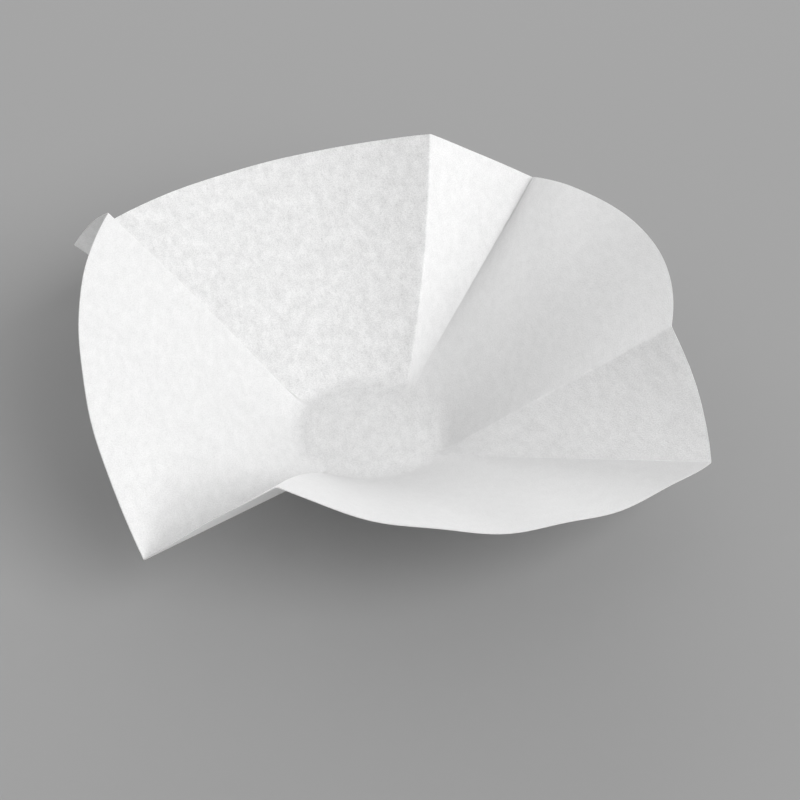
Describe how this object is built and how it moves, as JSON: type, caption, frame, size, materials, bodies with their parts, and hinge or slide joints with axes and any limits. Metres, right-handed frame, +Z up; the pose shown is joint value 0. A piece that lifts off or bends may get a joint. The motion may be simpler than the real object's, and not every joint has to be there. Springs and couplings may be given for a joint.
{
  "type": "paper coffee filter",
  "caption": "Round sheet of filter paper folded into an open bowl with a small flat bottom, curved walls and turned corner pleats.",
  "frame": {"origin": "centre of the flat bottom's underside", "axes": "+Z up, out of the bowl's open mouth; +Y towards the back panel, away from the viewer of the picture; +X to the viewer's right"},
  "size_m": [0.174, 0.1814, 0.0627],
  "materials": {
    "paper": null
  },
  "bodies": {
    "root": {"filter_paper": "paper"}
  },
  "joints": []
}
